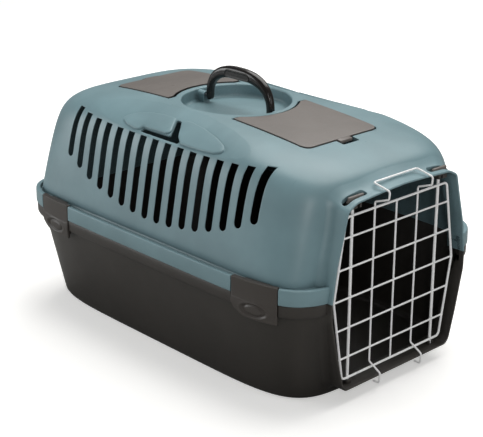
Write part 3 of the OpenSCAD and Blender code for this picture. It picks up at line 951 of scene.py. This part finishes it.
def door_upright(name, x, y, d, z0, z1):
    return tube(name, [(x, y, z0), (x, y, (z0 + z1) / 2), (x, y, z1)], d, sides=28)


def door_bail():
    """Bail: two wires down the door, joined by a loop over the brow, with a hook at each lower end."""
    right = [(BAIL_X, y, z) for y, z in BAIL]
    left = [(-BAIL_X, y, z) for y, z in BAIL[::-1]]
    return tube("door_bail_wire", bent(right + left, 3.6), WIRE_D)


def oval_block(name, x, reach, r, steps):
    """Round-ended block along X from (shrink, z) steps."""
    rings = []
    for shrink, z in steps:
        rings.append(level(stadium(x - reach + shrink, x + reach - shrink, ROD_Y, r - shrink), z))
    return loft(name, rings)


def catch_fin(name, x):
    """Pale thumb fin of a sliding catch."""
    steps = ((0, 275.5), (0, 282.0), (0.3, 282.9), (0.9, 283.4), (1.5, 283.5))
    return oval_block(name, x, 14.5, 2.1, steps)


def catch(name, x, rod_at):
    """Sliding catch: a slide with grip ribs, over the block that holds the rod."""
    parts = [oval_block(name, x, 16.5, 4.2, ((0, 273.5), (0, 277.0), (0.5, 277.7), (1.4, 278.0)))]
    for a in np.arange(-13, 14, 2.6):
        rib = [(x + a, ROD_Y + b, 278.0) for b in (-3.4, 0, 3.4)]
        parts.append(tube("rib", rib, 0.9, sides=10))
    block = prism("block", rect(rod_at - 5, rod_at + 12, -295.6, -284.4, 1.2), 268, 274)
    bore = prism("bore", stadium(rod_at - 2.1, rod_at + 8.1, ROD_Y, 2.1), 260, 275.4)
    gap_x = rod_at + (6.0 if rod_at < 0 else 0.0)
    parts.append(cut(block, bore, box("gap", (gap_x - 2.5, -300, 260), (gap_x + 2.3, ROD_Y, 273))))
    return join(name, parts)


def handle():
    """Carry handle: an arch that is slim at its feet and full at the grip."""
    turns = np.linspace(0, math.pi, 73)
    outer_y, inner_y = 69, 58.2

    def arch(y, z, power):
        return np.c_[y * signed_pow(np.cos(turns), power), z * signed_pow(np.sin(turns), power)]

    outer = arch(outer_y, 54, 0.8)
    inner = arch(inner_y, 36.5, 0.75)
    foot_y = (outer_y + inner_y) / 2
    foot_r = (outer_y - inner_y) / 2
    leg = 5.4
    section = np.linspace(0, 2 * math.pi, 36, endpoint=False)
    across = signed_pow(np.cos(section), 0.72)
    thick = signed_pow(np.sin(section), 0.72)

    def ring(p, q, half):
        mid = (p + q) / 2 + (PIVOT_Y, PIVOT_Z)
        reach = (q - p) / 2
        return [(half * v, mid[0] + reach[0] * u, mid[1] + reach[1] * u) for u, v in zip(across, thick)]

    def foot(side, a):
        mid = np.array([side * foot_y, -foot_r * math.sin(a)])
        spread = np.array([side * foot_r * math.cos(a), 0])
        return ring(mid - spread, mid + spread, leg * (0.55 + 0.45 * math.cos(a)))

    rounding = (0.4, 0.75, 1.1, 1.45)
    rings = [foot(1, a) for a in rounding[::-1]]
    for p, q, turn in zip(inner, outer, turns):
        rings.append(ring(p, q, leg + 1.6 * math.sin(turn) ** 2))
    rings += [foot(-1, a) for a in rounding]
    return loft("handle_arch", rings, smooth_angle=60)


@both_sides
def grip_pads(name):
    """Long oval pad in a face of the grip, with a groove inside its raised edge."""
    steps = ((0, 4.5), (0, 6.9), (0.4, 7.5), (1.2, 7.7), (2.4, 7.1), (3.2, 6.9), (4.4, 7.0))
    rings = []
    for shrink, x in steps:
        ring = stadium(-26 + shrink, 26 - shrink, 0, 5.9 - shrink, count=16)
        rings.append([(x, PIVOT_Y + a, 371.2 - 0.0045 * a * a + b) for a, b in ring])
    return loft(name, rings)


def clip_frame(y0):
    """Point on a clip's pivot line, its outward normal, and the direction of the line."""
    p, n = flange_point(y0, CLIP_AXIS)
    return p, n, np.array([-n[1], n[0]])


def clip_face(s, z, z0):
    """Depth of a clip's outer face: flared below, with an oval ring of a thumb hollow."""
    flare = -0.9 * np.exp(-(((z - 141.0) / 9.0) ** 2)) - 0.35 / (1 + np.exp((z - 148.5) * 2.5))
    hollow = np.sqrt(((s + 2.0) / 21.0) ** 2 + ((z - 137.0) / 9.0) ** 2)
    middle = 0.5 / (1 + np.exp((hollow - 0.8) * 20.0))
    groove = 1.9 * np.exp(-(((hollow - 0.82) / 0.15) ** 2))
    rim = -0.3 * np.exp(-(((hollow - 1.12) / 0.1) ** 2))
    low_round = 1 - np.sqrt(np.clip(1 - (1 - np.clip((z - z0) / 1.2, 0, 1)) ** 2, 0, 1))
    return flare + middle + groove + rim + low_round


def clip_section(s, half):
    """Section of a clip's plate a distance s along it, as (inset, z) points."""
    edge = max(0.0, abs(s) - half + 2.5) / 2.5
    tuck = 1.1 * (1 - math.sqrt(max(0.0, 1 - edge**2)))
    turn_in = min(max(0.0, s - 6.0) / (half - 5.8), 1.0)
    z0 = CLIP_LOW + 21.0 * (1 - math.sqrt(1 - turn_in**2)) + tuck
    z = z0 + (CLIP_TOP - tuck - z0) * np.linspace(1, 0, 80)
    crown = CLIP_TOP + 1.2 - tuck
    top = [(0.25 + tuck, crown - 0.4), (1.1 + tuck, crown), (6.2, crown), (6.6, 173.2)]
    hook = 3.0 + 2.0 * min(max((132.0 - z0) / 5.0, 0.0), 1.0)
    back = [(3.0, 173.0), (3.0, max(136.4, z0 + 2.4)), (hook, max(135.8, z0 + 1.8))]
    back += [(hook, max(131.0, z0 + 1.0)), (3.2, max(130.4, z0 + 0.5)), (2.6 + tuck * 0.3, z0 + 0.3)]
    return list(zip(tuck + clip_face(s, z, z0), z))[::-1] + top + back


def clip(name, y0, half):
    """Side clip: a plate over the bands with a thumb hollow, a hook, and a barrel in the channel."""
    end = half - 4.8
    across = np.concatenate([
        np.linspace(-half, 3.8 - half, 7), np.linspace(-end, end, 84), np.linspace(half - 3.8, half, 7),
    ])
    rings = []
    for s in across:
        rings.append([(*flange_point(y0 + s, inset)[0], z) for inset, z in clip_section(s, half)])
    plate = loft(name, rings)
    p, n, along = clip_frame(y0)
    line = [(*(p + along * t), CLIP_AXIS_Z) for t in (-BARREL_REACH, 0, BARREL_REACH)]
    arm = [
        (-1, 172.4), (4.4, 172.4), (4.4, 173.2), (6.5, 173.2),
        (6.5, 176.1), (4.4, 176.1), (2.2, 174.4), (-1, 174.2),
    ]
    ends = [[(*(p + along * t + n * d), z) for d, z in arm] for t in (-BARREL_REACH, BARREL_REACH)]
    return join(name, [plate, tube("barrel", line, 6.0), soften(loft("arm", ends), 0.4)])


@both_sides
def clip_pin_lugs(name):
    """Small blocks in the channel that hold the clip pins."""
    arc = np.linspace(0, math.pi, 9)
    round_top = [(2.2 * math.cos(b), CLIP_AXIS_Z + 2.0 * math.sin(b)) for b in arc]
    section = [(2.2, 166), *round_top, (-2.2, 166)]
    parts = []
    for y0, _ in CLIPS:
        p, n, along = clip_frame(y0)
        for t in (-22.9, 22.9):
            ends = [p + along * (t + a) for a in (-2.5, 2.5)]
            parts.append(loft(name, [[(*(q + n * d), z) for d, z in section] for q in ends]))
    return join(name, parts)


# ---------------- materials


def set_inputs(node, **values):
    """Sets inputs of a shader node. Underscores stand for the spaces in their names."""
    for name, value in values.items():
        node.inputs[name.replace("_", " ")].default_value = value
    return node


def new_material(name, **values):
    """A material, its node tree, and its main shader with some inputs set."""
    material = bpy.data.materials.new(name)
    material.use_nodes = True
    tree = material.node_tree
    return material, tree, set_inputs(tree.nodes["Principled BSDF"], **values)


def link(tree, source, target):
    tree.links.new(source, target)


def add_node(tree, kind, **values):
    """A new shader node with some of its inputs set."""
    return set_inputs(tree.nodes.new(f"ShaderNode{kind}"), **values)


def noise(tree, scale, detail=3.0, stretch=(1, 1, 1)):
    """Solid noise in the object's own space."""
    coords = add_node(tree, "TexCoord")
    mapping = add_node(tree, "Mapping", Scale=stretch)
    texture = add_node(tree, "TexNoise", Scale=scale, Detail=detail)
    link(tree, coords.outputs["Object"], mapping.inputs["Vector"])
    link(tree, mapping.outputs["Vector"], texture.inputs["Vector"])
    return texture.outputs["Fac"]


def ramp(tree, value, low, high, out_low, out_high):
    """Maps a value from one range to another."""
    node = add_node(tree, "MapRange", From_Min=low, From_Max=high, To_Min=out_low, To_Max=out_high)
    link(tree, value, node.inputs["Value"])
    return node.outputs["Result"]


def arithmetic(tree, operation, a, b):
    """Result of one operation on two values."""
    node = add_node(tree, "Math")
    node.operation = operation
    link(tree, a, node.inputs[0])
    link(tree, b, node.inputs[1])
    return node.outputs["Value"]


def mix(tree, factor, a, b):
    """Blend of two colours, each a tuple or another node's output."""
    node = add_node(tree, "Mix")
    node.data_type = "RGBA"
    for socket_name, value in (("A", a), ("B", b)):
        socket_in = [s for s in node.inputs if s.name == socket_name and s.type == "RGBA"][0]
        if isinstance(value, tuple):
            socket_in.default_value = (*value, 1.0)
        else:
            link(tree, value, socket_in)
    factor_in = [s for s in node.inputs if s.name == "Factor" and s.type == "VALUE"][0]
    link(tree, factor, factor_in)
    return [s for s in node.outputs if s.type == "RGBA"][0]


def bump(tree, height, strength, distance, below=None):
    """Normal bent by a height, on top of the normal below it."""
    node = add_node(tree, "Bump", Strength=strength, Distance=distance)
    link(tree, height, node.inputs["Height"])
    if below is not None:
        link(tree, below, node.inputs["Normal"])
    return node.outputs["Normal"]


def edge_mask(tree, radius):
    """Rounded normal, and a mask that is bright where an edge turns."""
    bevel = add_node(tree, "Bevel", Radius=radius)
    bevel.samples = 4
    plain = add_node(tree, "NewGeometry")
    dot = add_node(tree, "VectorMath")
    dot.operation = "DOT_PRODUCT"
    link(tree, bevel.outputs["Normal"], dot.inputs[0])
    link(tree, plain.outputs["Normal"], dot.inputs[1])
    return bevel.outputs["Normal"], ramp(tree, dot.outputs["Value"], 1.0, 0.75, 0.0, 1.0)


def shade_mask(tree, reach):
    """Mask for painted shade: bright on open surfaces, dark inside the box and deep in hollows."""
    node = add_node(tree, "AmbientOcclusion", Distance=reach)
    node.samples = 4
    return ramp(tree, node.outputs["AO"], 0.06, 0.5, 0.0, 1.0)


def plastic(name, colour, rough, grain=0.25, edge=0.35, radius=0.0008):
    """Moulded plastic: fine spark texture, slight mottling, scuffs, edges lightened as part rubbed wear and
    part painted highlight, and painted shade in hollows and inside the box.
    """
    material, tree, shader = new_material(name, Specular_IOR_Level=0.45)
    dark = tuple(c * 0.93 for c in colour)
    light = tuple(min(1.0, c * 1.07) for c in colour)
    body = mix(tree, ramp(tree, noise(tree, 14.0), 0.35, 0.65, 0.0, 1.0), dark, light)
    speck = mix(tree, ramp(tree, noise(tree, 900.0, 2.0), 0.58, 0.72, 0.0, 0.22), body, light)
    normal, edges = edge_mask(tree, radius)
    # Edges lightened: part rubbed wear, part a painted highlight along rounded edges; edge sets its
    # strength.
    rubbed_and_highlight = tuple(min(1.0, c * 1.45 + 0.01) for c in colour)
    patches = ramp(tree, noise(tree, 60.0), 0.3, 0.6, edge * 0.5, edge)
    wear_and_highlight = arithmetic(tree, "MULTIPLY", edges, patches)
    # Painted shade: the colour drops to a tenth where ambient occlusion finds hollows or the inside of the
    # box.
    shaded = mix(tree, shade_mask(tree, 0.45), tuple(c * 0.1 for c in colour), speck)
    link(tree, mix(tree, wear_and_highlight, shaded, rubbed_and_highlight), shader.inputs["Base Color"])
    scuff = ramp(tree, noise(tree, 55.0, 6.0, (1.0, 6.0, 1.4)), 0.62, 0.74, 0.0, 0.10)
    base = ramp(tree, noise(tree, 22.0, 4.0), 0.3, 0.7, rough - 0.04, rough + 0.05)
    link(tree, arithmetic(tree, "SUBTRACT", base, scuff), shader.inputs["Roughness"])
    fine = bump(tree, noise(tree, 1500.0, 2.0), grain, 0.0002, normal)
    wavy = bump(tree, noise(tree, 9.0, 2.0), 0.06, 0.004, fine)
    link(tree, wavy, shader.inputs["Normal"])
    return material


def coated_wire(name):
    """White dipped coating with a slight orange-peel skin, darker, thinner spots, and a faint painted glow.
    """
    material, tree, shader = new_material(name, Coat_Weight=0.4, Coat_Roughness=0.15)
    # Painted light: a faint white glow so the wires read bright from every side.
    set_inputs(shader, Emission_Color=(1.0, 1.0, 1.0, 1.0), Emission_Strength=0.07)
    tint = ramp(tree, noise(tree, 90.0, 3.0), 0.55, 0.75, 0.0, 0.5)
    link(tree, mix(tree, tint, (0.93, 0.93, 0.93), (0.74, 0.74, 0.75)), shader.inputs["Base Color"])
    link(tree, ramp(tree, noise(tree, 130.0), 0.3, 0.7, 0.22, 0.38), shader.inputs["Roughness"])
    link(tree, bump(tree, noise(tree, 420.0, 2.0), 0.25, 0.0002), shader.inputs["Normal"])
    return material


def steel(name):
    """Plain drawn steel pin, streaked along its length."""
    material, tree, shader = new_material(name, Metallic=1.0)
    streak = noise(tree, 300.0, 4.0, (1.0, 0.05, 1.0))
    tint = ramp(tree, streak, 0.35, 0.65, 0.0, 1.0)
    link(tree, mix(tree, tint, (0.36, 0.36, 0.37), (0.55, 0.55, 0.56)), shader.inputs["Base Color"])
    link(tree, ramp(tree, streak, 0.3, 0.7, 0.25, 0.42), shader.inputs["Roughness"])
    link(tree, bump(tree, streak, 0.2, 0.0001), shader.inputs["Normal"])
    return material


def floor_material():
    """Pale studio floor that throws back less light than it shows."""
    material, tree, shader = new_material(
        "pale_floor", Roughness=0.8, Specular_IOR_Level=0.1, Emission_Color=(1.0, 0.995, 0.98, 1.0)
    )
    path = add_node(tree, "LightPath").outputs["Is Camera Ray"]
    cloud = ramp(tree, noise(tree, 2.0), 0.3, 0.7, 0.0, 1.0)
    shade = mix(tree, cloud, (0.90, 0.895, 0.885), (0.93, 0.925, 0.915))
    link(tree, mix(tree, path, (0.42, 0.42, 0.41), shade), shader.inputs["Base Color"])
    link(tree, ramp(tree, path, 0.0, 1.0, 0.0, 0.4), shader.inputs["Emission Strength"])
    return material


# ---------------- assembly


def place(obj, body, material, replaced=()):
    obj.data.materials.clear()
    obj.data.materials.append(material)
    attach(obj, body)
    if replaced:
        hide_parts(*replaced)
    return obj


def build_shells(teal, dark):
    tube_all = surround("upper_surround")
    cut(tube_all, catch_slot_tool("catch_slots"))
    lower_ring = add_object("lower_surround", tube_all.data.copy())
    place(upper_shell(), "shells", teal, ["upper_shell"])
    place(keep_side(tube_all, SEAM_Z + 0.2, True), "shells", teal)
    place(keep_side(lower_ring, SEAM_Z - 0.1, False), "shells", dark)
    place(shell_band("upper_band", UPPER_BAND), "shells", teal)
    place(shell_band("lower_band", LOWER_BAND), "shells", dark)
    place(lower_shell(), "shells", dark, ["lower_shell"])
    for end, outline in (("rear", REAR_PAD), ("front", FRONT_PAD)):
        place(pad(f"shoulder_pads_{end}", outline), "shells", teal)
    sockets = join("rod_sockets", [socket("socket", -ROD_X, False), socket("socket", ROD_X, True)])
    place(sockets, "shells", dark)
    place(clip_pin_lugs("clip_pin_lugs"), "shells", teal)


def build_lids(trim):
    lids = (("front_lid", FRONT_LID, FRONT_HINGE_Z), ("rear_lid", REAR_LID, REAR_HINGE_Z))
    for node, ys, hinge_z in lids:
        place(lid(f"{node}_plate", ys, hinge_z), node, trim, [node])


def build_handle(black, grip, pin):
    place(handle(), "handle", black, ["carry_handle"])
    place(grip_pads("handle_grip_pads"), "handle", grip, ["handle_grip"])
    for node in ("handle_pin_front", "handle_pin_rear"):
        set_material(node, pin)


def set_material(node, material):
    mesh = frame["nodes"][node].data
    mesh.materials.clear()
    mesh.materials.append(material)
    finish_mesh(mesh)


def build_clips(brown, pin):
    for end, (y0, half) in zip(("front", "rear"), CLIPS):
        right = clip(f"clip_{end}_right_plate", y0, half)
        left = mirrored(right, f"clip_{end}_left_plate")
        place(right, f"clip_{end}_right", brown, [f"clip_{end}_right"])
        place(left, f"clip_{end}_left", brown, [f"clip_{end}_left"])
    set_material("clip_pins", pin)


def build_door(white, trim, brown):
    rod_low = 19.5
    wires = (
        (door_frame(), "door", "door_frame_wire"),
        (door_cross(), "door", "door_cross_wires"),
        (door_upright("door_centre", 0, CENTRE_Y, WIRE_D, FRAME_LOW, FRAME_TOP), "door", "door_centre_wire"),
        (door_upright("door_rod_l", -ROD_X, ROD_Y, ROD_D, rod_low, ROD_TOP), "door", "door_rod_left"),
        (door_upright("door_rod_r", ROD_X, ROD_Y, ROD_D, rod_low, ROD_TOP), "door", "door_rod_right"),
        (door_bail(), "bail", "door_bail"),
    )
    for wire, body, node in wires:
        place(wire, body, white, [node])
    for side, x, rod_at in (("left", -79.8, -ROD_X), ("right", 86.0, ROD_X)):
        slide = catch(f"catch_{side}_slide", x, rod_at)
        place(slide, f"catch_{side}", brown, [f"door_catch_{side}"])
        place(catch_fin(f"catch_{side}_fin", x), f"catch_{side}", trim)


def area_light(name, location, target, size, power, colour):
    data = bpy.data.lights.new(name, "AREA")
    data.shape = "RECTANGLE"
    data.size = size[0]
    data.size_y = size[1]
    data.energy = power
    data.color = colour
    lamp = add_object(name, data)
    lamp.location = location
    lamp.rotation_euler = (Vector(target) - Vector(location)).to_track_quat("-Z", "Y").to_euler()


def build_stage():
    half = 12.0
    corners = [(-half, -half, 0), (half, -half, 0), (half, half, 0), (-half, half, 0)]
    mesh = bpy.data.meshes.new("floor")
    mesh.from_pydata(corners, [], [(0, 1, 2, 3)])
    floor = add_object("floor", mesh)
    floor.location.z = -0.0002
    mesh.materials.append(floor_material())
    world = bpy.data.worlds.new("studio")
    world.use_nodes = True
    tree = world.node_tree
    sky = tree.nodes["Background"]
    sky.inputs["Color"].default_value = (1.0, 1.0, 1.0, 1.0)
    path = add_node(tree, "LightPath").outputs["Is Camera Ray"]
    link(tree, ramp(tree, path, 0.0, 1.0, 0.16, 1.0), sky.inputs["Strength"])
    bpy.context.scene.world = world
    area_light("key", (1.1, 0.3, 2.7), (0, 0, 0.15), (2.8, 2.8), 88, (1.0, 0.99, 0.97))
    area_light("left_fill", (-1.7, 2.1, 0.75), (-0.1, 0.15, 0.12), (1.6, 1.2), 27, (0.97, 0.99, 1.0))
    area_light("front_fill", (0.8, -2.6, 0.9), (0, -0.2, 0.15), (1.2, 1.0), 8, (1.0, 1.0, 1.0))
    area_light("corner_strip", (-1.4, -1.6, 0.95), (-0.15, -0.25, 0.2), (0.12, 0.9), 9, (1.0, 1.0, 1.0))
    bpy.context.scene.view_settings.view_transform = "Standard"


def build_camera():
    azimuth = math.radians(-43.098)
    elevation = math.radians(20.617)
    target = Vector((-5.9, 0.1, 153.4)) * MM
    back = Vector((
        math.sin(azimuth) * math.cos(elevation),
        -math.cos(azimuth) * math.cos(elevation),
        math.sin(elevation),
    ))
    data = bpy.data.cameras.new("camera")
    data.sensor_width = 36.0
    data.lens = 97.5
    camera = add_object("camera", data)
    camera.location = target + back * 1.941
    camera.rotation_euler = (-back).to_track_quat("-Z", "Y").to_euler()
    bpy.context.scene.camera = camera


TEAL = plastic("teal_shell", (0.195, 0.308, 0.340), 0.38, edge=0.9, radius=0.0016)
DARK = plastic("dark_base", (0.042, 0.037, 0.032), 0.4, edge=0.8, radius=0.0014)
TRIM = plastic("taupe_trim", (0.175, 0.157, 0.145), 0.38)
BROWN = plastic("brown_clip", (0.058, 0.050, 0.044), 0.42, edge=0.6)
BLACK = plastic("handle_black", (0.010, 0.008, 0.007), 0.2, grain=0.12, edge=0.2)
GRIP = plastic("grip_rubber", (0.018, 0.016, 0.014), 0.5, grain=0.4, edge=0.4)
WHITE = coated_wire("white_wire")
PIN = steel("pin_steel")

build_shells(TEAL, DARK)
build_lids(TRIM)
build_handle(BLACK, GRIP, PIN)
build_clips(BROWN, PIN)
build_door(WHITE, TRIM, BROWN)
build_stage()
build_camera()
